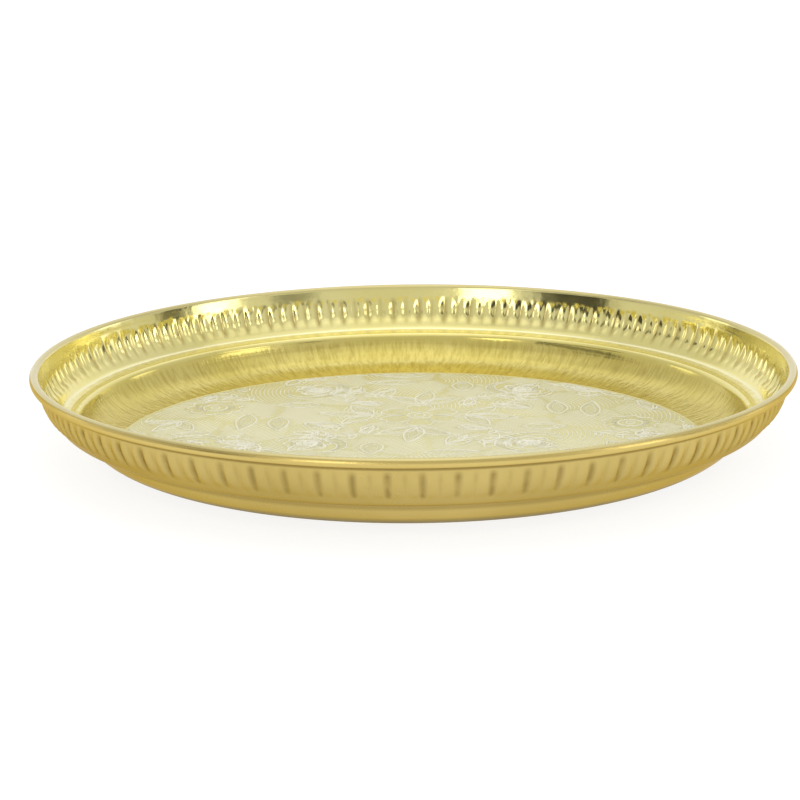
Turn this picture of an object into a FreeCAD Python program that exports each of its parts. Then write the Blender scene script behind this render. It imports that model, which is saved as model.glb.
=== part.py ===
import FreeCAD, Part
import math
import os

# Brass tray: one pressed sheet with a fluted wall and a wired, rolled edge.
# Millimetres.  +Z is up.  The origin is the centre of the underside.

OVERALL_RADIUS = 150.0
SHEET = 0.8

# Flat floor and the dished well around it.  Radii are those of the upper face.
FLOOR_RADIUS = 107.0
DISH_RADIUS = 44.0
DISH_TURN = 19.0
WELL_RADIUS = 16.5
WELL_TURN = 47.0
WELL_STRAIGHT = 0.3

# Rounded shoulder at the top of the well, a crease, then a narrow sloping ledge.
SHOULDER_RADIUS = 3.0
SHOULDER_TURN = 90.0
CREASE_RADIUS = 1.2
CREASE_TURN = 44.0
LEDGE_WIDTH = 1.7
LEDGE_BEND_RADIUS = 4.0
LEDGE_BEND_TURN = 31.0

# Rolled edge: the sheet goes over a wire, down its outside and back beneath it.
WIRE_RADIUS = 1.1
WIRE_CLEARANCE = 0.03
CURL_TURN = 285.0
RIM_HEIGHT = 31.4

# Flutes pressed into the wall, and a narrow groove outside at every second
# ridge between them.  The ring is made in segments of an even number of flutes.
FLUTE_COUNT = 154
SEGMENTS = 77
FLUTE_LOW = 17.4
FLUTE_HIGH = 28.4
FLUTE_WIDTH = 4.8
FLUTE_DEPTH = 0.32
FLUTE_END_TURN = 3.0
GROOVE_WIDTH = 1.7
GROOVE_DEPTH = 0.34

CURL_RADIUS = WIRE_RADIUS + SHEET
RIM_RADIUS = OVERALL_RADIUS - CURL_RADIUS


def heading_vector(heading):
    angle = math.radians(heading)
    return FreeCAD.Vector(math.cos(angle), 0, math.sin(angle))


def left_of(heading):
    return heading_vector(heading + 90)


class Section:
    """Half section of the sheet, followed along its upper face.

    Every step continues the last one without a corner.  The lower face is
    the same path moved to the right by the thickness of the sheet.
    """

    def __init__(self, start, heading):
        self.point = start
        self.heading = heading
        self.upper = []
        self.lower = []

    def under(self, point, heading):
        return point - left_of(heading) * SHEET

    def line(self, length):
        end = self.point + heading_vector(self.heading) * length
        low_start = self.under(self.point, self.heading)
        low_end = self.under(end, self.heading)
        self.upper.append(Part.makeLine(self.point, end))
        self.lower.append(Part.makeLine(low_start, low_end))
        self.point = end

    def arc(self, radius, turn):
        side = math.copysign(1.0, turn)
        centre = self.point + left_of(self.heading) * (side * radius)

        def at(share, distance):
            heading = self.heading + turn * share
            return centre - left_of(heading) * (side * distance)

        low_radius = radius + side * SHEET
        upper_points = [at(share, radius) for share in (0, 0.5, 1)]
        lower_points = [at(share, low_radius) for share in (0, 0.5, 1)]
        self.upper.append(Part.Arc(*upper_points).toShape())
        self.lower.append(Part.Arc(*lower_points).toShape())
        self.point = upper_points[2]
        self.heading += turn
        return centre

    def face(self):
        start_low = self.lower[0].Vertexes[0].Point
        start_high = self.upper[0].Vertexes[0].Point
        end_low = self.under(self.point, self.heading)
        edges = list(self.upper)
        edges.append(Part.makeLine(self.point, end_low))
        edges.extend(self.lower)
        edges.append(Part.makeLine(start_low, start_high))
        return Part.Face(Part.Wire(Part.__sortEdges__(edges)))


def wall_arc_to_rim(section, rim_centre):
    """Radius and turn of the wall arc that runs smoothly into the curl."""
    offset = section.point - rim_centre
    reach = CURL_RADIUS - left_of(section.heading).dot(offset)
    radius = (offset.Length ** 2 - CURL_RADIUS ** 2) / (2 * reach)
    centre = section.point + left_of(section.heading) * radius
    towards_rim = rim_centre - centre
    end_heading = math.degrees(math.atan2(towards_rim.z, towards_rim.x)) + 90
    return radius, end_heading - section.heading


def make_section():
    """Section of the sheet outside the flat floor, with its wall arc."""
    section = Section(FreeCAD.Vector(FLOOR_RADIUS, 0, SHEET), 0.0)
    section.arc(DISH_RADIUS, DISH_TURN)
    section.arc(WELL_RADIUS, WELL_TURN)
    section.line(WELL_STRAIGHT)
    section.arc(SHOULDER_RADIUS, -SHOULDER_TURN)
    section.arc(CREASE_RADIUS, CREASE_TURN)
    section.line(LEDGE_WIDTH)
    section.arc(LEDGE_BEND_RADIUS, LEDGE_BEND_TURN)
    rim_centre = FreeCAD.Vector(RIM_RADIUS, 0, RIM_HEIGHT)
    wall_radius, wall_turn = wall_arc_to_rim(section, rim_centre)
    wall_centre = section.arc(wall_radius, wall_turn)
    section.arc(CURL_RADIUS, -CURL_TURN)
    return section.face(), wall_radius, wall_centre


def wall_direction(wall_radius, wall_centre, height):
    """Unit vector from the wall arc's centre to its face at this height."""
    drop = (height - wall_centre.z) / wall_radius
    return FreeCAD.Vector(math.sqrt(1 - drop * drop), 0, drop)


def cutter_radius(width, depth):
    return (width * width / 4 + depth * depth) / (2 * depth)


def flute_cutter(wall_radius, wall_centre):
    """Bowed bar whose back sinks into the upper face for one flute."""
    low = wall_direction(wall_radius, wall_centre, FLUTE_LOW)
    high = wall_direction(wall_radius, wall_centre, FLUTE_HIGH)
    middle = (low + high).normalize()
    half_chord = (high - low).Length * wall_radius / 2
    rise = wall_radius - math.sqrt(wall_radius ** 2 - half_chord ** 2) + FLUTE_DEPTH
    bow_radius = (half_chord ** 2 + rise ** 2) / (2 * rise)
    half_turn = math.degrees(math.asin(half_chord / bow_radius)) + FLUTE_END_TURN
    bar = cutter_radius(FLUTE_WIDTH, FLUTE_DEPTH)
    bow_centre = wall_centre + middle * (wall_radius + FLUTE_DEPTH - bow_radius)
    bar_centre = bow_centre + middle * (bow_radius - bar)
    along = FreeCAD.Vector(-middle.z, 0, middle.x)
    circle = Part.makeCircle(bar, bar_centre, along)
    disc = Part.Face(Part.Wire([circle]))
    across = FreeCAD.Vector(0, 1, 0)
    disc.rotate(bow_centre, across, half_turn)
    return disc.revolve(bow_centre, across, -2 * half_turn)


def groove_cutter(wall_radius, wall_centre):
    """Round bar laid against the lower face for one outside groove."""
    low = wall_direction(wall_radius, wall_centre, FLUTE_LOW)
    high = wall_direction(wall_radius, wall_centre, FLUTE_HIGH)
    middle = (low + high).normalize()
    along = FreeCAD.Vector(-middle.z, 0, middle.x)
    bar = cutter_radius(GROOVE_WIDTH, GROOVE_DEPTH)
    distance = wall_radius + SHEET - GROOVE_DEPTH + bar
    length = FLUTE_HIGH - FLUTE_LOW
    start = wall_centre + middle * distance - along * (length / 2)
    return Part.makeCylinder(bar, length, start, along)


def around(shape, angle):
    turned = shape.copy()
    turned.rotate(FreeCAD.Vector(), FreeCAD.Vector(0, 0, 1), angle)
    return turned


def make_tray_body():
    """Flat floor joined to equal segments of the fluted ring around it."""
    section, wall_radius, wall_centre = make_section()
    pitch = 360.0 / FLUTE_COUNT
    flutes = FLUTE_COUNT // SEGMENTS
    flute = flute_cutter(wall_radius, wall_centre)
    groove = groove_cutter(wall_radius, wall_centre)
    cutters = [around(flute, (index + 0.5) * pitch) for index in range(flutes)]
    cutters += [around(groove, index * pitch) for index in range(1, flutes, 2)]
    plain = section.revolve(FreeCAD.Vector(), FreeCAD.Vector(0, 0, 1), flutes * pitch)
    segment = plain.cut(cutters)
    ring = [around(segment, index * flutes * pitch) for index in range(SEGMENTS)]
    floor = Part.makeCylinder(FLOOR_RADIUS, SHEET)
    return floor.fuse(ring)


def make_rim_wire():
    centre = FreeCAD.Vector(0, 0, RIM_HEIGHT)
    return Part.makeTorus(RIM_RADIUS, WIRE_RADIUS - WIRE_CLEARANCE, centre)


os.makedirs("parts", exist_ok=True)
NODES = {
    "tray_body": make_tray_body(),
    "rim_wire": make_rim_wire(),
}
for name, shape in NODES.items():
    box = shape.optimalBoundingBox()
    print(name, shape.isValid(), len(shape.Solids), len(shape.Faces), round(shape.Volume, 1))
    print("  from", round(box.XMin, 2), round(box.YMin, 2), round(box.ZMin, 2))
    print("  to", round(box.XMax, 2), round(box.YMax, 2), round(box.ZMax, 2))
    shape.exportStep("parts/" + name + ".step")
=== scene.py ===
import math

import bpy
from mathutils import Matrix, Vector


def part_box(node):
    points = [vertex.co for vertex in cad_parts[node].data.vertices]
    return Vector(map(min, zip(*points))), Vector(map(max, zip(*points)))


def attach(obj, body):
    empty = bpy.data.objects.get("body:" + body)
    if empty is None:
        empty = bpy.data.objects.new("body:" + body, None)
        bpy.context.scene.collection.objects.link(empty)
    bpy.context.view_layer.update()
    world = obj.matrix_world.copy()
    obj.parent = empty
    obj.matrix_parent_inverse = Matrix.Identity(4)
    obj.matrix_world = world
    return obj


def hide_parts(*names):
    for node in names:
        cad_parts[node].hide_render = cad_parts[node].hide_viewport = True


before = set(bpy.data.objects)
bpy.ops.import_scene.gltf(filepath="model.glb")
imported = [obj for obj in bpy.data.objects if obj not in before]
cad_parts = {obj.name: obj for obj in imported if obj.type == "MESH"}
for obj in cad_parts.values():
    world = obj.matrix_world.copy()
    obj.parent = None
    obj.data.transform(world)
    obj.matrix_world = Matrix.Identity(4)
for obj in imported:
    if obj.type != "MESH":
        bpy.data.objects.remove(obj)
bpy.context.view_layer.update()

# Lengths below are in millimetres, as in the part's source, and are turned
# into metres where a mesh is made.
MM = 0.001
TAU = 2 * math.pi

tray_low, tray_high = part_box("tray_body")
OVERALL_RADIUS = (tray_high.x - tray_low.x) / 2 / MM
OVERALL_HEIGHT = tray_high.z / MM

# The sheet's section, as in the part: floor, dish, well, shoulder, crease and
# ledge, with radii and turns in degrees of the upper face.
SHEET = 0.8
FLOOR_RADIUS = 107.0
DISH_RADIUS = 44.0
DISH_TURN = 19.0
WELL_RADIUS = 16.5
WELL_TURN = 47.0
WELL_STRAIGHT = 0.3
SHOULDER_RADIUS = 3.0
SHOULDER_TURN = 90.0
CREASE_RADIUS = 1.2
CREASE_TURN = 44.0
LEDGE_WIDTH = 1.7
LEDGE_BEND_RADIUS = 4.0
LEDGE_BEND_TURN = 31.0

# The rolled edge that closes the section.
CURL_RADIUS = 1.9
RIM_RADIUS = OVERALL_RADIUS - CURL_RADIUS
RIM_HEIGHT = OVERALL_HEIGHT - CURL_RADIUS
CURL_TURN = 285.0
CURL_ROWS = 22
# Rows of the curl, from the wall on, that have the finish of the inside.
CURL_BRIGHT_ROWS = 10

# Pressed flutes.  Every second ridge between them stands up sharply.
FLUTES = 154
COLUMNS_PER_FLUTE = 8
# Heights between which the flutes lie, and their depth.
FLUTE_LOW = 17.2
FLUTE_HIGH = 28.9
FLUTE_DEPTH = 0.85
# Half the width of the ridge left between two flutes.
RIDGE_HALF_WIDTH = 0.3
# Length of a flute's arched top, in half widths of the flute.
ARCH_SHARE = 2.2
# Length over which its foot fades, as a share of half its height.
FOOT_SHARE = 0.6
# How far a weak ridge is pressed in, as a share of the flutes' depth, and the
# length at either end over which that fades.
WEAK_RIDGE_SHARE = 0.45
WEAK_RIDGE_FADE = 3.0
# Heights of the mesh rows on the wall, closest together at the flutes' tops.
WALL_HEIGHTS = (16.6, 17.3, 18.3, 19.6, 21.0, 22.5, 24.0, 25.4, 26.6, 27.4,
                27.9, 28.3, 28.6, 28.9, 29.3, 30.2)

# The etched disc, which sits a little off the tray's own centre.
ETCHED_RADIUS = 116.5
ETCHED_CENTRE = Vector((-1.0, -7.0))
ETCHED_EDGE = 0.3


# ---------------------------------------------------------------- the sheet

def direction(heading):
    angle = math.radians(heading)
    return Vector((math.cos(angle), math.sin(angle)))


def left_of(heading):
    return direction(heading + 90)


class Walk:
    """Follows the upper face of the sheet outwards, in radius and height.

    Keeps (point, heading, length so far) at every row of the mesh.
    """

    def __init__(self, point, heading):
        self.point = Vector(point)
        self.heading = heading
        self.length = 0.0
        self.rows = [(self.point.copy(), heading, 0.0)]

    def line(self, length, rows):
        start = self.point.copy()
        for row in range(1, rows + 1):
            point = start + direction(self.heading) * (length * row / rows)
            self.rows.append((point, self.heading, self.length + length * row / rows))
        self.point = start + direction(self.heading) * length
        self.length += length

    def arc(self, radius, turn, rows=0, shares=None):
        side = math.copysign(1.0, turn)
        centre = self.point + left_of(self.heading) * (side * radius)
        start_heading = self.heading
        arc_length = radius * math.radians(abs(turn))
        for share in shares or [row / rows for row in range(1, rows + 1)]:
            heading = start_heading + turn * share
            point = centre - left_of(heading) * (side * radius)
            self.rows.append((point, heading, self.length + arc_length * share))
        self.point = self.rows[-1][0].copy()
        self.heading = start_heading + turn
        self.length += arc_length


def wall_arc(point, heading):
    """Radius and turn of the wall arc that runs smoothly into the curl."""
    rim = Vector((RIM_RADIUS, RIM_HEIGHT))
    offset = point - rim
    reach = CURL_RADIUS - left_of(heading).dot(offset)
    radius = (offset.length_squared - CURL_RADIUS ** 2) / (2 * reach)
    towards_rim = rim - (point + left_of(heading) * radius)
    end_heading = math.degrees(math.atan2(towards_rim.y, towards_rim.x)) + 90
    return radius, end_heading - heading


def wall_shares(point, heading, radius, turn):
    """Shares of the wall arc at which its mesh rows reach WALL_HEIGHTS."""
    centre_height = point.y + left_of(heading).y * radius
    shares = []
    for height in WALL_HEIGHTS:
        heading_there = math.degrees(math.acos((centre_height - height) / radius))
        shares.append((heading_there - heading) / turn)
    return shares + [1.0]


def sheet_rows():
    """Rows of the upper face from the flat floor to the end of the curl."""
    walk = Walk((FLOOR_RADIUS, SHEET), 0.0)
    walk.arc(DISH_RADIUS, DISH_TURN, rows=12)
    walk.arc(WELL_RADIUS, WELL_TURN, rows=10)
    walk.line(WELL_STRAIGHT, rows=1)
    walk.arc(SHOULDER_RADIUS, -SHOULDER_TURN, rows=14)
    walk.arc(CREASE_RADIUS, CREASE_TURN, rows=6)
    walk.line(LEDGE_WIDTH, rows=2)
    walk.arc(LEDGE_BEND_RADIUS, LEDGE_BEND_TURN, rows=4)
    wall_start = len(walk.rows) - 1
    radius, turn = wall_arc(walk.point, walk.heading)
    walk.arc(radius, turn, shares=wall_shares(walk.point, walk.heading, radius, turn))
    wall_end = len(walk.rows) - 1
    walk.arc(CURL_RADIUS, -CURL_TURN, rows=CURL_ROWS)
    return walk.rows, wall_start, wall_end


ROWS, WALL_START, WALL_END = sheet_rows()


def smooth(value):
    value = min(1.0, max(0.0, value))
    return value * value * (3 - 2 * value)


def flute_span():
    """Lengths along the sheet at which the flutes begin and end."""
    lengths = []
    for height in (FLUTE_LOW, FLUTE_HIGH):
        for row in range(WALL_START, WALL_END):
            low, high = ROWS[row], ROWS[row + 1]
            if low[0].y <= height <= high[0].y:
                share = (height - low[0].y) / (high[0].y - low[0].y)
                lengths.append(low[2] + (high[2] - low[2]) * share)
                break
    return lengths


SPAN_LOW, SPAN_HIGH = flute_span()


def flute_push(radius, length, column, soft_top):
    """How far the sheet is pressed outwards at this place, in millimetres.

    Each flute is a rounded trough with a fading foot and an arched top, which
    is drawn out more softly on the inside of the wall.
    """
    phase = column / COLUMNS_PER_FLUTE
    flute = math.floor(phase)
    across = phase - flute - 0.5
    pitch = TAU * radius / FLUTES
    weak_side = 1 if flute % 2 == 0 else -1
    half_width = pitch / 2 - RIDGE_HALF_WIDTH
    offset = abs(across) * pitch
    middle = (SPAN_LOW + SPAN_HIGH) / 2
    half_length = (SPAN_HIGH - SPAN_LOW) / 2
    # Hand work: the tops don't quite line up.
    unevenness = 0.3 * math.sin(2.3 * flute) + 0.2 * math.sin(5.1 * flute + 1)
    along = length - middle
    arch = ARCH_SHARE * half_width
    beyond = max(0.0, along - (half_length + unevenness - arch)) / arch
    fade = smooth((half_length + along) / (FOOT_SHARE * half_length))
    if soft_top:
        trough = (1 - min(1.0, offset / half_width) ** 2) * smooth(1 - beyond) * fade
    else:
        trough = (1 - min(1.0, math.hypot(offset / half_width, beyond)) ** 2) * fade
    near_weak_ridge = smooth((across * weak_side) * 2 * 1.6 - 0.6)
    inside_ends = smooth((half_length - abs(along)) / WEAK_RIDGE_FADE)
    bridge = WEAK_RIDGE_SHARE * near_weak_ridge * inside_ends
    return FLUTE_DEPTH * max(trough, bridge)


def sheet_point(row, column, columns, depth):
    """A point of the sheet, depth millimetres below its upper face."""
    point, heading, length = ROWS[row]
    angle = TAU * column / columns
    outward = -left_of(heading)
    push = 0.0
    if WALL_START < row < WALL_END:
        fine_column = column * FLUTES * COLUMNS_PER_FLUTE / columns
        push = flute_push(point.x, length, fine_column, depth == 0.0)
    moved = point + outward * (depth + push)
    return (
        moved.x * math.cos(angle) * MM,
        moved.x * math.sin(angle) * MM,
        moved.y * MM,
    )


FINE = FLUTES * COLUMNS_PER_FLUTE
COARSE = FINE // 4
# Radius and number of columns of each ring of the flat floor.
FLOOR_RINGS = ((4, 77), (14, 77), (30, 77), (52, 154), (78, 154), (98, COARSE))
MATERIAL_INSIDE, MATERIAL_OUTSIDE = 0, 1


class Rings:
    """Builds a mesh ring by ring; neighbouring rings may differ in count."""

    def __init__(self):
        self.points = []
        self.faces = []
        self.materials = []
        self.last = None

    def add(self, ring, material):
        start = len(self.points)
        self.points.extend(ring)
        current = list(range(start, start + len(ring)))
        if self.last is not None:
            self.join(self.last, current, material)
        self.last = current

    def join(self, first, second, material):
        if len(first) == 1 or len(second) == 1:
            apex = first[0] if len(first) == 1 else second[0]
            ring = second if len(first) == 1 else first
            count = len(ring)
            for i in range(count):
                pair = [ring[i], ring[(i + 1) % count]]
                face = [apex] + pair if len(first) == 1 else [apex] + pair[::-1]
                self.faces.append(face)
                self.materials.append(material)
            return
        cells = min(len(first), len(second))
        step_a = len(first) // cells
        step_b = len(second) // cells
        for i in range(cells):
            edge_a = [first[(i * step_a + k) % len(first)] for k in range(step_a + 1)]
            edge_b = [second[(i * step_b + k) % len(second)] for k in range(step_b + 1)]
            self.faces.append(edge_a[::-1] + edge_b)
            self.materials.append(material)


def floor_ring(radius, count, height):
    angles = [TAU * column / count for column in range(count)]
    return [(radius * math.cos(angle) * MM, radius * math.sin(angle) * MM, height * MM)
            for angle in angles]


def build_sheet():
    """Upper face from the middle out to the curl, then the lower face back."""
    rings = Rings()
    rings.add([(0.0, 0.0, SHEET * MM)], MATERIAL_INSIDE)
    for radius, count in FLOOR_RINGS:
        rings.add(floor_ring(radius, count, SHEET), MATERIAL_INSIDE)

    def columns_at(row):
        return FINE if WALL_START <= row <= WALL_END else COARSE

    for row in range(len(ROWS)):
        columns = columns_at(row)
        material = MATERIAL_OUTSIDE if row > WALL_END + CURL_BRIGHT_ROWS else MATERIAL_INSIDE
        rings.add([sheet_point(row, c, columns, 0.0) for c in range(columns)], material)
    for row in range(len(ROWS) - 1, -1, -1):
        columns = columns_at(row)
        rings.add([sheet_point(row, c, columns, SHEET) for c in range(columns)], MATERIAL_OUTSIDE)
    for radius, count in FLOOR_RINGS[::-1]:
        rings.add(floor_ring(radius, count, 0.0), MATERIAL_OUTSIDE)
    rings.add([(0.0, 0.0, 0.0)], MATERIAL_OUTSIDE)
    return rings


# ------------------------------------------------------------- the ornament

# The stamped pattern turns about its own centre, which is off the tray's.
PATTERN_CENTRE = Vector((2.5, 34.0))
LINE_WIDTH = 1.35
LINE_HEIGHT = 0.24
# Share of its width that an open line keeps at its ends.
TIP_SHARE = 0.35
# Lines stop this far inside the edge of the etched disc.
LINE_MARGIN = 0.8
# Thin lines that hatch leaves and buds.
THIN_WIDTH = 0.42
HATCH_HEIGHT = 0.14

# Hatching of the ground: each patch is arcs about a centre beside its seed.
# They step round by HATCH_STEP and lie HATCH_PITCH apart.
HATCH_WIDTH = 0.72
HATCH_PITCH = 1.75
HATCH_STEP = 1.7
HATCH_CENTRE_OFFSET = 24.0
HATCH_HALF_LENGTH = 19.0
HATCH_REACH_SQUARED = 340.0
HATCH_ROWS = range(6, 25)
# Seeds of the patches: how many lie on each ring, and the rings' radii.
SEED_COUNTS = (6, 9, 14, 19, 24, 30)
SEED_RADIUS = 22.0
SEED_SPACING = 25.0

# Distances along leaves, stems and rings between points, and hatch strokes.
LEAF_STEP = 1.4
LEAF_HATCH_PITCH = 2.1
VINE_STEP = 1.6
RING_STEP = 1.2

# How deep the foot of each line sits in the sheet.
LINE_ROOT = 0.04
# Side of the squares in which the ground taken by motifs is counted.
CELL = 1.3


def floor_height(radius):
    """Height of the upper face of the sheet under the ornament."""
    if radius <= FLOOR_RADIUS:
        return SHEET
    for low, high in zip(ROWS, ROWS[1:]):
        if radius <= high[0].x:
            share = (radius - low[0].x) / (high[0].x - low[0].x)
            return low[0].y + (high[0].y - low[0].y) * share
    return ROWS[-1][0].y


def around(centre, radius, turn):
    """The point at this distance and turn, in radians, from a centre."""
    return (centre[0] + radius * math.cos(turn), centre[1] + radius * math.sin(turn))


def polar(radius, angle):
    return around((0.0, 0.0), radius, math.radians(angle))


class Ornament:
    """Raised lines laid on the floor, each a closed three-sided strip."""

    def __init__(self):
        self.points = []
        self.faces = []
        self.turn = 0.0
        self.taken = set()

    def place(self, point):
        turned = Vector((
            point[0] * math.cos(self.turn) - point[1] * math.sin(self.turn),
            point[0] * math.sin(self.turn) + point[1] * math.cos(self.turn),
        ))
        return turned + PATTERN_CENTRE

    def vertex(self, point, lift):
        height = floor_height(point.length) + lift
        self.points.append((point.x * MM, point.y * MM, height * MM))
        return len(self.points) - 1

    def stroke(self, path, width=LINE_WIDTH, closed=False, height=LINE_HEIGHT):
        """A line through these points, tapering where it is open."""
        path = [self.place(point) for point in path]
        run = []
        count = len(path)
        for i, point in enumerate(path):
            if (point - ETCHED_CENTRE).length > ETCHED_RADIUS - LINE_MARGIN:
                self.finish_run(run, False, height)
                run = []
                continue
            before = path[i - 1] if i > 0 or closed else point
            after = path[(i + 1) % count] if i < count - 1 or closed else point
            along = after - before
            if along.length < 1e-6:
                continue
            normal = Vector((-along.y, along.x)).normalized()
            share = i / (count - 1)
            swell = max(0.0, math.sin(math.pi * share)) ** 0.5
            taper = 1.0 if closed else TIP_SHARE + (1 - TIP_SHARE) * swell
            run.append((point, normal * (width * taper / 2)))
        self.finish_run(run, closed and len(run) == count, height)

    def finish_run(self, run, closed, height):
        if len(run) < 2:
            return
        rows = []
        for point, side in run:
            rows.append((
                self.vertex(point + side, -LINE_ROOT),
                self.vertex(point, height),
                self.vertex(point - side, -LINE_ROOT),
            ))
        pairs = list(zip(rows, rows[1:]))
        if closed:
            pairs.append((rows[-1], rows[0]))
        else:
            self.faces.append(rows[0][::-1])
            self.faces.append(rows[-1])
        for first, second in pairs:
            for k in range(3):
                other = (k + 1) % 3
                self.faces.append((first[k], first[other], second[other], second[k]))

    def cover(self, outline):
        """Marks the ground inside this outline as taken by a motif."""
        corners = [self.place(point) for point in outline]
        reach = [range(int(min(axis) // CELL), int(max(axis) // CELL) + 1)
                 for axis in ([c.x for c in corners], [c.y for c in corners])]
        edges = list(zip(corners, corners[1:] + corners[:1]))
        for column in reach[0]:
            x = (column + 0.5) * CELL
            crossings = []
            for a, b in edges:
                if (a.x > x) != (b.x > x):
                    crossings.append(a.y + (x - a.x) / (b.x - a.x) * (b.y - a.y))
            for row in reach[1]:
                y = (row + 0.5) * CELL
                if sum(crossing > y for crossing in crossings) % 2:
                    self.taken.add((column, row))

    def is_free(self, point):
        return (int(point.x // CELL), int(point.y // CELL)) not in self.taken

    def hatch_stroke(self, run):
        if len(run) > 1:
            self.stroke(run, width=HATCH_WIDTH, height=HATCH_HEIGHT)

    def hatch_ground(self):
        """Curved parallel strokes that fill the ground between the motifs.

        Each patch has the ground that is nearer to its seed than to others.
        """
        self.turn = 0.0
        seeds = []
        for ring, count in enumerate(SEED_COUNTS):
            for i in range(count):
                angle = 360 * (i + 0.37 * ring) / count
                seeds.append(Vector(polar(SEED_RADIUS + SEED_SPACING * ring, angle)))
        half_steps = int(HATCH_HALF_LENGTH / HATCH_STEP)
        for number, seed in enumerate(seeds):
            away = math.atan2(seed.y, seed.x) + (0.75, -0.9, 1.9, 0.2)[number % 4]
            centre = seed - Vector((math.cos(away), math.sin(away))) * HATCH_CENTRE_OFFSET
            for row in HATCH_ROWS:
                radius = HATCH_PITCH * row
                run = []
                for step in range(-half_steps, half_steps + 1):
                    turn = away + step * HATCH_STEP / radius
                    point = centre + Vector((math.cos(turn), math.sin(turn))) * radius
                    near = (point - seed).length_squared
                    mine = near < HATCH_REACH_SQUARED and all(
                        (point - other).length_squared >= near for other in seeds)
                    if mine and self.is_free(point + PATTERN_CENTRE):
                        run.append(tuple(point))
                        continue
                    self.hatch_stroke(run)
                    run = []
                self.hatch_stroke(run)

    def leaf(self, base, angle, length, width, bend=0.0, hatch=True):
        """A pointed leaf: outline, slanting hatch, and an inner one if wide."""
        def at(along, across):
            swing = math.radians(angle + bend * along)
            x = length * along
            y = width / 2 * across
            return (
                base[0] + x * math.cos(swing) - y * math.sin(swing),
                base[1] + x * math.sin(swing) + y * math.cos(swing),
            )

        def half_width(share):
            return math.sin(math.pi * share ** 0.85) ** 0.9

        steps = max(6, int(length / LEAF_STEP))
        shares = [i / steps for i in range(steps + 1)]
        outline = [at(t, half_width(t)) for t in shares]
        outline += [at(t, -half_width(t)) for t in shares[-2:0:-1]]
        self.stroke(outline, closed=True)
        self.cover(outline)
        if width > 5:
            inside = [at(0.2 + 0.6 * t, 0.5 * half_width(t)) for t in shares]
            inside += [at(0.2 + 0.6 * t, -0.5 * half_width(t)) for t in shares[-2:0:-1]]
            self.stroke(inside, width=0.6, closed=True)
        if hatch:
            strokes = max(3, int(length / LEAF_HATCH_PITCH))
            for i in range(1, strokes):
                t = i / strokes
                reach = 0.72 * half_width(t)
                start = at(t, -reach)
                end = at(min(1.0, t + 0.12), reach)
                self.stroke([start, end], width=THIN_WIDTH, height=HATCH_HEIGHT)

    def spray(self, base, angle, size):
        """Three leaves opening from one point, with a calyx behind them."""
        self.leaf(base, angle + 44, size * 0.82, size * 0.32, 8)
        self.leaf(base, angle, size, size * 0.34, -4)
        self.leaf(base, angle - 46, size * 0.82, size * 0.32, -8)
        self.arc_line(base, size * 0.12, angle + 90, angle + 270, 0.8)

    def arc_line(self, centre, radius, start, end, width):
        steps = max(4, int(abs(end - start) / 16))
        turns = [math.radians(start + (end - start) * i / steps) for i in range(steps + 1)]
        self.stroke([around(centre, radius, turn) for turn in turns], width=width)

    def ring(self, centre, radius, lobes=0, depth=0.0, width=LINE_WIDTH):
        """A circle, or a scalloped ring when it has lobes."""
        steps = max(14, int(TAU * radius / RING_STEP))
        path = []
        for i in range(steps):
            turn = TAU * i / steps
            scallop = 1 - depth * (1 - abs(math.cos(lobes * turn / 2)))
            path.append(around(centre, radius * scallop, turn))
        self.stroke(path, width=width, closed=True)
        self.cover(path)

    def daisy(self, centre, radius, petals=9):
        """A round flower: scalloped edge, three strokes to a petal, an eye."""
        self.ring(centre, radius, petals, 0.2, 1.15)
        self.ring(centre, radius * 0.42)
        self.ring(centre, radius * 0.16)
        for i in range(petals * 3):
            turn = TAU * i / (petals * 3)
            reach = 0.72 if i % 3 else 0.66
            self.stroke([around(centre, radius * 0.5, turn),
                         around(centre, radius * reach, turn)], width=0.5)

    def rosette(self, radius):
        """The large six-petalled flower in the middle of the pattern."""
        for petal in range(6):
            middle = math.radians(90 + 60 * petal)
            half = math.radians(29)
            path = []
            for i in range(19):
                t = i / 18
                turn = middle - half + 2 * half * t
                notch = 1 - 0.1 * math.exp(-((t - 0.5) / 0.09) ** 2)
                reach = radius * (0.36 + 0.64 * math.sin(math.pi * t) ** 0.38) * notch
                path.append(around((0.0, 0.0), reach, turn))
            self.stroke(path, width=1.25)
            self.cover([(0.0, 0.0)] + path)
            for i in (-1, 0, 1):
                turn = middle + half * 0.5 * i
                start = 0.46 + 0.06 * abs(i)
                end = 0.82 - 0.08 * abs(i)
                self.stroke([around((0.0, 0.0), radius * start, turn),
                             around((0.0, 0.0), radius * end, turn)],
                            width=0.7, height=HATCH_HEIGHT)
        self.ring((0, 0), radius * 0.3, 8, 0.15)
        self.ring((0, 0), radius * 0.13)

    def paisley(self, centre, angle, size):
        """A hooked leaf: a fat crescent with a hatched bud inside it."""
        turn = math.radians(angle)

        def at(x, y):
            return (
                centre[0] + x * math.cos(turn) - y * math.sin(turn),
                centre[1] + x * math.sin(turn) + y * math.cos(turn),
            )

        outer, inner = [], []  # the two edges of the crescent
        for i in range(23):
            sweep = math.radians(62 + 236 * i / 22)
            outer.append(at(size * 0.5 * math.cos(sweep), size * 0.62 * math.sin(sweep)))
            fat = 0.34 + 0.1 * abs(i - 11) / 11
            inner.append(at(size * (fat * math.cos(sweep) + 0.05), size * (fat + 0.1) * math.sin(sweep)))
        self.stroke(outer + inner[::-1], width=1.05, closed=True)
        self.cover(outer)
        for i in range(2, 21):
            self.stroke([outer[i], inner[i]], width=THIN_WIDTH)
        base = at(-size * 0.16, 0)
        self.leaf(base, angle, size * 0.72, size * 0.26)
        self.leaf(base, angle + 42, size * 0.42, size * 0.17, 10)
        self.leaf(base, angle - 42, size * 0.42, size * 0.17, -10)

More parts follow.
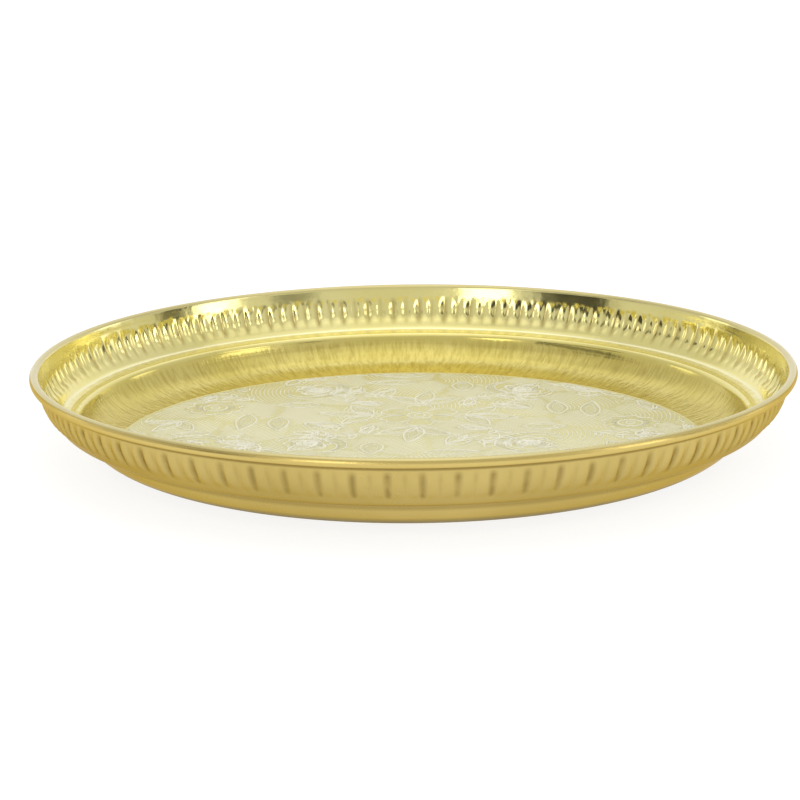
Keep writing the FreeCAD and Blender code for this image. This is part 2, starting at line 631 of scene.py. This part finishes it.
    def vine(self, start, heading, length, curl, spacing):
        """A stem that curves more towards its tip, which it returns.

        A pair of leaflets grows from it at every so many steps.
        """
        steps = int(length / VINE_STEP)
        tip = start
        turn = heading
        path = [tip]
        for i in range(steps):
            turn += curl * (0.4 + 1.6 * i / steps) * VINE_STEP
            tip = around(tip, VINE_STEP, math.radians(turn))
            path.append(tip)
            if i % spacing == spacing - 1:
                self.leaf(tip, turn + 52, 6.8, 2.9, hatch=False)
                self.leaf(tip, turn - 52, 5.6, 2.4, hatch=False)
        self.stroke(path, width=1.0)
        return tip, turn


def build_ornament():
    art = Ornament()
    art.rosette(17.5)
    for quarter in range(4):
        art.turn = quarter * TAU / 4
        # Leaves close round the middle flower.
        art.spray(polar(19.0, -3), -6, 23.0)
        art.leaf(polar(24.5, 38), 62, 14.0, 5.2, 20)
        art.leaf(polar(24.0, -46), -20, 13.0, 5.0, -16)
        art.leaf(polar(36.0, 31), -38, 17.0, 6.6, 10)
        # Buds, tulips and long leaves half way out.
        art.leaf(polar(46.0, -24), -2, 17.5, 9.0)
        art.leaf(polar(57.0, 1), 82, 22.0, 8.4, 8)
        art.leaf(polar(71.5, -3), 96, 25.0, 8.2, -10)
        art.leaf(polar(47.0, 12), 108, 12.0, 5.0, 12)
        art.paisley(polar(61.0, -45), -40, 25.0)
        art.daisy(polar(62.0, 44), 9.5, 8)
        # Stems that run out between them.
        tip, turn = art.vine(polar(29.0, 22), 34, 34.0, 1.5, 6)
        art.leaf(tip, turn, 10.0, 4.6)
        tip, turn = art.vine(polar(33.0, -34), -62, 26.0, -1.9, 5)
        art.leaf(tip, turn, 9.0, 4.2)
        tip, turn = art.vine(polar(74.0, 18), 70, 34.0, 2.1, 5)
        art.leaf(tip, turn, 11.0, 4.8)
        tip, turn = art.vine(polar(70.0, -20), -50, 30.0, 2.4, 5)
        art.daisy(tip, 5.2, 7)
        # Daisies and leaf clusters towards the edge.
        art.daisy(polar(87.0, -10), 11.8)
        art.spray(polar(78.0, 33), 40, 20.0)
        art.spray(polar(98.0, 4), 60, 19.0)
        art.leaf(polar(86.0, -30), -70, 18.0, 7.4, 14)
        art.leaf(polar(88.0, 17), 20, 16.0, 6.8, -10)
        art.paisley(polar(99.0, 24), 115, 21.0)
        art.paisley(polar(103.0, -26), 150, 22.0)
        art.daisy(polar(97.0, 45), 10.5)
        art.spray(polar(92.0, -52), -60, 20.0)
        tip, turn = art.vine(polar(101.0, -12), -20, 36.0, 2.2, 5)
        art.leaf(tip, turn, 10.0, 4.6)
        # The corners of the stamped sheet that only the near side reaches.
        art.daisy(polar(118.0, -8), 11.0)
        art.spray(polar(116.0, 14), 24, 21.0)
        art.paisley(polar(121.0, -28), -20, 23.0)
        art.leaf(polar(112.0, 36), 20, 18.0, 7.6, 12)
        art.daisy(polar(132.0, 10), 9.0, 8)
        art.spray(polar(131.0, -18), -30, 18.0)
        art.leaf(polar(128.0, 28), 70, 17.0, 7.0)
    # The near side lies further from the pattern's centre than the others.
    art.turn = 0.0
    for step in range(5):
        angle = -122 + 16 * step
        art.daisy(polar(145.0, angle), 9.5, 8)
        art.spray(polar(133.0, angle + 8), angle + 20, 17.0)
        art.leaf(polar(151.0, angle + 8), angle + 95, 14.0, 6.2, 12)
    art.hatch_ground()
    return art


# -------------------------------------------------------------- mesh making

def make_object(name, points, faces, materials, indices=None):
    mesh = bpy.data.meshes.new(name)
    mesh.from_pydata(points, [], faces)
    for material in materials:
        mesh.materials.append(material)
    if indices:
        mesh.polygons.foreach_set("material_index", indices)
    mesh.polygons.foreach_set("use_smooth", [True] * len(mesh.polygons))
    mesh.update()
    made = bpy.data.objects.new(name, mesh)
    bpy.context.scene.collection.objects.link(made)
    return made


# ---------------------------------------------------------------- materials

class Graph:
    """Short names for the node-building calls of materials and the sky."""

    slope = "LINEAR"

    def __init__(self, owner):
        owner.use_nodes = True
        self.tree = owner.node_tree

    def add(self, kind, **settings):
        node = self.tree.nodes.new(kind)
        for key, value in settings.items():
            setattr(node, key, value)
        return node

    def link(self, source, target):
        self.tree.links.new(source, target)

    def feed(self, socket, value):
        if isinstance(value, (int, float, tuple)):
            socket.default_value = value
        else:
            self.link(value, socket)

    def math(self, operation, first, second=0.0):
        node = self.add("ShaderNodeMath", operation=operation)
        self.feed(node.inputs[0], first)
        self.feed(node.inputs[1], second)
        return node.outputs[0]

    def ramp(self, value, low, high, start, end):
        node = self.add("ShaderNodeMapRange", interpolation_type=self.slope)
        self.feed(node.inputs["Value"], value)
        for key, number in (("From Min", low), ("From Max", high), ("To Min", start), ("To Max", end)):
            node.inputs[key].default_value = number
        return node.outputs["Result"]


class Nodes(Graph):
    """A material with its Principled shader and the patterns brass needs."""

    def __init__(self, name):
        self.material = bpy.data.materials.new(name)
        super().__init__(self.material)
        self.shader = self.tree.nodes["Principled BSDF"]
        self.place = self.add("ShaderNodeTexCoord").outputs["Object"]
        split = self.add("ShaderNodeSeparateXYZ")
        self.link(self.place, split.inputs[0])
        self.x, self.y, self.z = split.outputs

    def noise(self, scale, detail=3.0, roughness=0.55, vector=None):
        node = self.add("ShaderNodeTexNoise")
        node.inputs["Scale"].default_value = scale
        node.inputs["Detail"].default_value = detail
        node.inputs["Roughness"].default_value = roughness
        self.link(vector or self.place, node.inputs["Vector"])
        return node.outputs["Fac"]

    def mix(self, factor, first, second):
        node = self.add("ShaderNodeMix", data_type="RGBA")
        self.feed(node.inputs[0], factor)
        self.feed(node.inputs[6], first)
        self.feed(node.inputs[7], second)
        return node.outputs[2]

    def blend(self, factor, first, second):
        """Mixes two values, as mix does two colours."""
        node = self.add("ShaderNodeMix", data_type="FLOAT")
        self.feed(node.inputs[0], factor)
        self.feed(node.inputs[2], first)
        self.feed(node.inputs[3], second)
        return node.outputs[0]

    def bump(self, height, distance, strength=1.0, before=None):
        node = self.add("ShaderNodeBump")
        node.inputs["Strength"].default_value = strength
        node.inputs["Distance"].default_value = distance
        self.link(height, node.inputs["Height"])
        if before:
            self.link(before, node.inputs["Normal"])
        return node.outputs["Normal"]

    def length(self, across, along):
        return self.math("SQRT", self.math("ADD", self.math("MULTIPLY", across, across),
                                           self.math("MULTIPLY", along, along)))

    def radius(self):
        """Distance from the tray's axis, in metres."""
        return self.length(self.x, self.y)

    def distance(self, centre):
        """Level distance from this point, in metres."""
        return self.length(self.math("SUBTRACT", self.x, centre[0] * MM),
                           self.math("SUBTRACT", self.y, centre[1] * MM))

    def angle(self):
        return self.math("ARCTAN2", self.y, self.x)

    def fade(self, place, low, high, start, end):
        """A ramp whose low and high are places in millimetres."""
        return self.ramp(place, low * MM, high * MM, start, end)

    def band(self, place, low, high, edge):
        """One from low to high, falling to nothing over this edge, all in millimetres."""
        return self.math("MULTIPLY", self.fade(place, low - edge, low, 0.0, 1.0),
                         self.fade(place, high, high + edge, 1.0, 0.0))

    def flute_shade_lines(self, strong, weak):
        """Painted shade: lines along the ridges between the flutes, strong and weak in turn."""
        beat = self.math("PINGPONG", self.math("MULTIPLY", self.angle(), FLUTES / TAU), 1.0)
        lines = self.math("ADD", self.ramp(beat, 0.04, 0.32, strong, 0.0),
                          self.ramp(beat, 0.78, 0.98, 0.0, weak))
        heights = self.band(self.z, 18.2, 26.0, 2.2)
        patchiness = self.ramp(self.noise(160.0, 2.0), 0.3, 0.6, 0.55, 1.0)
        return self.math("MULTIPLY", self.math("MULTIPLY", lines, heights), patchiness)

    def slope_streaks(self, scale):
        """Noise drawn out up and down the slope."""
        radius = self.radius()
        join = self.add("ShaderNodeCombineXYZ")
        for axis, place in enumerate((self.x, self.y)):
            level = self.math("DIVIDE", place, radius)
            self.link(self.math("MULTIPLY", level, 0.12), join.inputs[axis])
        self.link(self.math("MULTIPLY", radius, 0.3), join.inputs[2])
        return self.noise(scale, 3.0, 0.6, join.outputs[0])

    def turning_marks(self, scale):
        """Noise that varies across the turning marks and barely along them."""
        join = self.add("ShaderNodeCombineXYZ")
        self.link(self.radius(), join.inputs[0])
        self.link(self.math("MULTIPLY", self.angle(), 0.0006), join.inputs[1])
        self.link(self.z, join.inputs[2])
        return self.noise(scale, 2.0, 0.6, join.outputs[0])

    def finish(self, colour, roughness, normal, metallic=1.0):
        self.link(colour, self.shader.inputs["Base Color"])
        self.link(roughness, self.shader.inputs["Roughness"])
        self.link(normal, self.shader.inputs["Normal"])
        self.feed(self.shader.inputs["Metallic"], metallic)
        return self.material


def hatch(n, turn, scale):
    """Fine parallel strokes at this turn, slightly wavering."""
    node = n.add("ShaderNodeMapping")
    node.inputs["Rotation"].default_value = (0, 0, math.radians(turn))
    n.link(n.place, node.inputs["Vector"])
    wave = n.add("ShaderNodeTexWave", wave_type="BANDS", bands_direction="X")
    wave.inputs["Scale"].default_value = scale
    wave.inputs["Distortion"].default_value = 1.4
    wave.inputs["Detail"].default_value = 1.0
    wave.inputs["Detail Scale"].default_value = 0.6
    n.link(node.outputs["Vector"], wave.inputs["Vector"])
    return wave.outputs["Fac"]


# Base colours.  Each kind of ground goes from its deep to its bright tone.
DISH_DEEP, DISH_BRIGHT = (0.67, 0.56, 0.145, 1), (0.735, 0.62, 0.195, 1)
WALL_DEEP, WALL_BRIGHT = (0.855, 0.76, 0.29, 1), (0.915, 0.83, 0.37, 1)
ETCHED_DEEP, ETCHED_BRIGHT = (0.70, 0.655, 0.335, 1), (0.80, 0.755, 0.43, 1)
OUTSIDE_DEEP, OUTSIDE_BRIGHT = (0.53, 0.40, 0.125, 1), (0.615, 0.475, 0.165, 1)
LINE_DEEP, LINE_BRIGHT = (0.95, 0.92, 0.72, 1), (1.0, 0.98, 0.82, 1)
STEEL_DEEP, STEEL_BRIGHT = (0.30, 0.30, 0.31, 1), (0.46, 0.46, 0.47, 1)
DISH_FOOT = (0.82, 0.73, 0.32, 1)
# Painted shade on the top of the rolled edge inside; painted highlight on the bead outside.
BEAD_TOP_PAINTED_SHADE, BEAD_PAINTED_HIGHLIGHT = (0.66, 0.57, 0.26, 1), (0.70, 0.54, 0.18, 1)
# Painted highlight in the crease between shoulder and ledge.
CREASE_PAINTED_HIGHLIGHT = (0.97, 0.92, 0.60, 1)
# Painted shade along the flutes' ridges inside.
RIDGE_PAINTED_SHADE = (0.50, 0.38, 0.11, 1)
DISH_STREAK = (0.50, 0.39, 0.085, 1)
ETCHED_STROKE = (0.93, 0.90, 0.62, 1)
# Painted shade under the ledge, in the curl, along the ridges and on the low wall outside.
PAINTED_SHADE_BROWN = (0.27, 0.19, 0.055, 1)
# Painted shade at the foot of the outside.
FOOT_PAINTED_SHADE = (0.20, 0.16, 0.08, 1)
# Tint of the outside's reflections at a slant.
SLANT_TINT = (0.75, 0.62, 0.35, 1)


def upper_brass():
    """Upper face: polished brass round a frosted disc with fine hatching."""
    n = Nodes("upper_brass")
    etched = n.fade(n.distance(ETCHED_CENTRE), ETCHED_RADIUS - ETCHED_EDGE,
                    ETCHED_RADIUS + ETCHED_EDGE, 1.0, 0.0)
    radius = n.radius()

    # Deeper gold in the dish, paler on the ledge and wall; painted shade darkens the top of the rolled
    # edge.
    cloud = n.ramp(n.noise(22.0, 4.0), 0.35, 0.7, 0.0, 1.0)
    dish = n.mix(cloud, DISH_DEEP, DISH_BRIGHT)
    foot_of_dish = n.fade(radius, 116.0, 123.0, 0.6, 0.0)
    dish = n.mix(foot_of_dish, dish, DISH_FOOT)
    wall = n.mix(cloud, WALL_DEEP, WALL_BRIGHT)
    past_dish = n.fade(radius, 131.0, 132.5, 0.0, 1.0)
    polished = n.mix(past_dish, dish, wall)
    # Painted shade: the top of the rolled edge is made darker.
    on_bead = n.fade(radius, 146.1, 146.7, 0.0, 1.0)
    polished = n.mix(on_bead, polished, BEAD_TOP_PAINTED_SHADE)
    # Painted highlight: the crease is made pale yellow-white.
    crease = n.band(radius, 135.2, 138.2, 0.9)
    polished = n.mix(n.math("MULTIPLY", crease, 0.8), polished, CREASE_PAINTED_HIGHLIGHT)
    # Painted shade: darker lines along the flutes' ridges.
    polished = n.mix(n.flute_shade_lines(0.7, 0.45), polished, RIDGE_PAINTED_SHADE)

    # Streaks up and down the dish, where the sheet was drawn over the tool.
    streaks = n.slope_streaks(620.0)
    in_dish = n.fade(radius, 130.0, 131.0, 1.0, 0.0)
    polished = n.mix(n.math("MULTIPLY", n.ramp(streaks, 0.42, 0.68, 0.0, 0.7), in_dish),
                     polished, DISH_STREAK)

    # The disc's ground is hatched one way or the other, patch by patch.
    patch = n.ramp(n.noise(46.0, 2.0, 0.5), 0.47, 0.53, 0.0, 1.0)
    strokes = n.blend(patch, hatch(n, 38, 330.0), hatch(n, -52, 360.0))
    lines = n.ramp(strokes, 0.45, 0.75, 0.0, 1.0)
    grain = n.noise(2400.0, 3.0, 0.7)
    ground = n.mix(cloud, ETCHED_DEEP, ETCHED_BRIGHT)
    ground = n.mix(n.math("MULTIPLY", lines, 0.5), ground, ETCHED_STROKE)

    # Heights are in hundredths of a millimetre, the bump's distance.
    dents = n.math("MULTIPLY", n.noise(150.0, 2.0, 0.5), 9.0)
    ripples = n.math("MULTIPLY", n.noise(52.0, 1.0, 0.4), 20.0)
    pulled = n.math("MULTIPLY", n.math("MULTIPLY", streaks, 17.0), in_dish)
    smooth_height = n.math("ADD", n.math("ADD", dents, ripples), pulled)
    smooth_height = n.math("ADD", smooth_height, n.turning_marks(5200.0))
    rough_height = n.math("ADD", n.math("MULTIPLY", lines, 6.0), n.math("MULTIPLY", grain, 2.0))
    normal = n.bump(n.blend(etched, smooth_height, rough_height), 0.00001)

    roughness = n.blend(etched, n.ramp(n.noise(70.0, 5.0), 0.3, 0.75, 0.09, 0.2),
                        n.ramp(grain, 0.3, 0.7, 0.42, 0.58))
    return n.finish(n.mix(etched, polished, ground), roughness, normal, 0.96)


def outside_brass():
    """Warmer, duller outside: haze, turning marks, a painted highlight on the bead, and painted shade in
    the hollows and at the foot.
    """
    n = Nodes("outside_brass")
    haze = n.noise(14.0, 5.0, 0.6)
    colour = n.mix(n.ramp(haze, 0.3, 0.7, 0.0, 1.0), OUTSIDE_DEEP, OUTSIDE_BRIGHT)
    radius = n.radius()
    height = n.z
    # Painted highlight: the outer bead is made paler.
    on_bead = n.fade(height, 29.8, 30.6, 0.0, 0.6)
    colour = n.mix(on_bead, colour, BEAD_PAINTED_HIGHLIGHT)

    # Painted shade under the ledge, at the foot of the well, in the curl, along the ridges and, fading
    # upwards, on the low wall.
    low_wall = n.fade(height, 12.0, 24.0, 0.32, 0.0)
    under_ledge = n.math("MULTIPLY", n.band(height, 10.6, 13.4, 1.3),
                         n.fade(radius, 135.5, 136.5, 0.5, 0.0))
    at_foot = n.math("MULTIPLY", n.fade(height, 2.6, 6.0, 1.0, 0.0),
                     n.fade(radius, 112.0, 117.0, 0.0, 1.0))
    in_curl = n.math("MULTIPLY", n.band(height, 28.6, 29.7, 0.5), 0.8)
    painted_shade_mask = n.math("MAXIMUM", n.math("MAXIMUM", under_ledge, at_foot),
                     n.math("MAXIMUM", in_curl, n.flute_shade_lines(0.75, 0.2)))
    above_well = n.fade(radius, 134.5, 136.5, 0.0, 1.0)
    painted_shade_mask = n.math("MAXIMUM", painted_shade_mask, n.math("MULTIPLY", low_wall, above_well))
    colour = n.mix(painted_shade_mask, colour, PAINTED_SHADE_BROWN)

    specks = n.noise(900.0, 3.0, 0.7)
    normal = n.bump(n.turning_marks(3600.0), 0.00002, 0.8)
    normal = n.bump(n.noise(120.0, 2.0), 0.00008, 1.0, normal)
    normal = n.bump(specks, 0.000006, 0.6, normal)
    roughness = n.ramp(n.noise(40.0, 5.0), 0.3, 0.75, 0.24, 0.38)
    # At the foot it is rougher, and painted shade makes it darker and less metallic.
    roughness = n.math("ADD", roughness, n.math("MULTIPLY", at_foot, 0.3))
    colour = n.mix(at_foot, colour, FOOT_PAINTED_SHADE)
    n.shader.inputs["Specular Tint"].default_value = SLANT_TINT
    return n.finish(colour, roughness, normal, n.ramp(at_foot, 0.0, 1.0, 1.0, 0.25))


def raised_line():
    """Pale frosted metal on the raised lines; it scatters more than it mirrors."""
    n = Nodes("raised_line")
    colour = n.mix(n.noise(60.0, 4.0), LINE_DEEP, LINE_BRIGHT)
    grain = n.noise(1800.0, 3.0, 0.7)
    normal = n.bump(grain, 0.000015, 0.7)
    roughness = n.ramp(grain, 0.3, 0.7, 0.34, 0.50)
    return n.finish(colour, roughness, normal, 0.12)


def wire_steel():
    """Drawn steel wire in the rolled edge."""
    n = Nodes("wire_steel")
    colour = n.mix(n.noise(300.0, 3.0), STEEL_DEEP, STEEL_BRIGHT)
    normal = n.bump(n.turning_marks(6000.0), 0.00001, 0.8)
    roughness = n.ramp(n.noise(500.0, 3.0), 0.3, 0.7, 0.28, 0.42)
    return n.finish(colour, roughness, normal)


upper = upper_brass()
outside = outside_brass()
line = raised_line()

sheet = build_sheet()
tray = make_object("tray_sheet", sheet.points, sheet.faces, [upper, outside], sheet.materials)
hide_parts("tray_body")
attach(tray, "root")

art = build_ornament()
ornament = make_object("floor_ornament", art.points, art.faces, [line])
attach(ornament, "root")

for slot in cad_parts["rim_wire"].material_slots:
    slot.material = wire_steel()


# ------------------------------------------------------- floor, light, camera

def floor_material():
    """White table that glows a little, so that it stays white round the tray."""
    n = Nodes("studio_floor")
    colour = n.mix(n.noise(3.0, 2.0), (0.25, 0.25, 0.25, 1), (0.27, 0.27, 0.27, 1))
    n.link(colour, n.shader.inputs["Base Color"])
    n.shader.inputs["Roughness"].default_value = 0.9
    n.shader.inputs["Emission Color"].default_value = (1, 1, 1, 1)
    n.shader.inputs["Emission Strength"].default_value = 0.84
    return n.material


STUDIO_HALF = 6.0  # metres
corners = [(x * STUDIO_HALF, y * STUDIO_HALF, 0) for x, y in ((-1, -1), (1, -1), (1, 1), (-1, 1))]
floor = make_object("studio_floor", corners, [(0, 1, 2, 3)], [floor_material()])


def overhead_softbox():
    """A large weak light above the tray, aimed at its middle."""
    place = Vector((0.1, 0.1, 2.2))
    light = bpy.data.lights.new("overhead_softbox", "AREA")
    light.shape = "RECTANGLE"
    light.size = light.size_y = 2.6
    light.energy = 4.5
    made = bpy.data.objects.new("overhead_softbox", light)
    made.location = place
    made.rotation_euler = (-place).to_track_quat("-Z", "Y").to_euler()
    bpy.context.scene.collection.objects.link(made)


overhead_softbox()


class Sky(Graph):
    """White tent with soft panels, given by compass and height in degrees.

    Compass 0 is the side that the camera is on and 90 is the right.
    """

    slope = "SMOOTHSTEP"

    def __init__(self):
        self.world = bpy.data.worlds.new("studio")
        super().__init__(self.world)
        split = self.add("ShaderNodeSeparateXYZ")
        place = self.add("ShaderNodeTexCoord")
        self.link(place.outputs["Generated"], split.inputs[0])
        toward = self.math("MULTIPLY", split.outputs["Y"], -1.0)
        compass = self.math("ARCTAN2", split.outputs["X"], toward)
        self.compass = self.math("DEGREES", compass)
        self.height = self.math("DEGREES", self.math("ARCSINE", split.outputs["Z"]))
        front = self.ramp(self.height, 60.0, 88.0, 0.72, 1.04)
        behind = self.ramp(self.math("ABSOLUTE", self.compass), 125.0, 150.0, 0.0, 0.27)
        self.value = self.math("MINIMUM", self.math("ADD", front, behind), 1.06)

    def panel(self, compass, width, height, tall, light, edge):
        """Lays a panel of this radiance over the sky made so far."""
        across = self.math("ABSOLUTE", self.math("SUBTRACT", self.compass, float(compass)))
        up = self.math("ABSOLUTE", self.math("SUBTRACT", self.height, float(height)))
        mask = self.math(
            "MULTIPLY",
            self.ramp(across, width / 2, width / 2 + edge, 1.0, 0.0),
            self.ramp(up, tall / 2, tall / 2 + edge, 1.0, 0.0),
        )
        change = self.math("MULTIPLY", self.math("SUBTRACT", light, self.value), mask)
        self.value = self.math("ADD", self.value, change)

    def finish(self):
        """Reflections see the panels; the camera sees a plain white tent."""
        path = self.add("ShaderNodeLightPath")
        seen = self.math("MAXIMUM", self.value, path.outputs["Is Camera Ray"])
        background = self.tree.nodes["Background"]
        self.link(seen, background.inputs["Color"])
        bpy.context.scene.world = self.world


def studio_world():
    sky = Sky()
    # Two tall soft lights, left of the camera and far right of it.
    sky.panel(-25, 13, 9.5, 31, 3.0, 3)
    sky.panel(69, 12, 9.5, 31, 3.0, 3)
    # Two weaker ones, a little behind the tray on either side.
    for side in (-116, 116):
        sky.panel(side, 9, 11, 14, 1.7, 4)
    # Dark stands beside the first two.
    sky.panel(-55, 22, 8, 22, 0.05, 5)
    sky.panel(84, 10, 10, 24, 0.10, 4)
    sky.panel(40, 9, 4, 14, 0.30, 5)
    # A row of dark and bright panels above them, for the top of the well.
    for compass, width, tall, light in (
            (-72, 38, 4, 0.06), (-35, 12, 5, 2.2), (72, 20, 5, 2.2), (42, 8, 4, 0.30)):
        sky.panel(compass, width, 36.5, tall, light, 2.5)
    sky.finish()


studio_world()

# Camera: a longish lens 14 degrees up, aimed a little left of the middle.
CAMERA_PLACE = Vector((0.0, -0.8763, 0.2364))
CAMERA_AIM = Vector((-0.00528, 0.0, 0.01596))
CAMERA_ROLL = -0.571
camera_data = bpy.data.cameras.new("camera")
camera_data.lens = 102.42
camera_data.sensor_width = 36.0
camera_data.clip_end = 50.0
camera = bpy.data.objects.new("camera", camera_data)
bpy.context.scene.collection.objects.link(camera)
look = (CAMERA_AIM - CAMERA_PLACE).to_track_quat("-Z", "Y").to_matrix().to_4x4()
roll = Matrix.Rotation(math.radians(CAMERA_ROLL), 4, "Z")
camera.matrix_world = Matrix.Translation(CAMERA_PLACE) @ look @ roll
bpy.context.scene.camera = camera
bpy.context.scene.view_settings.view_transform = "Standard"
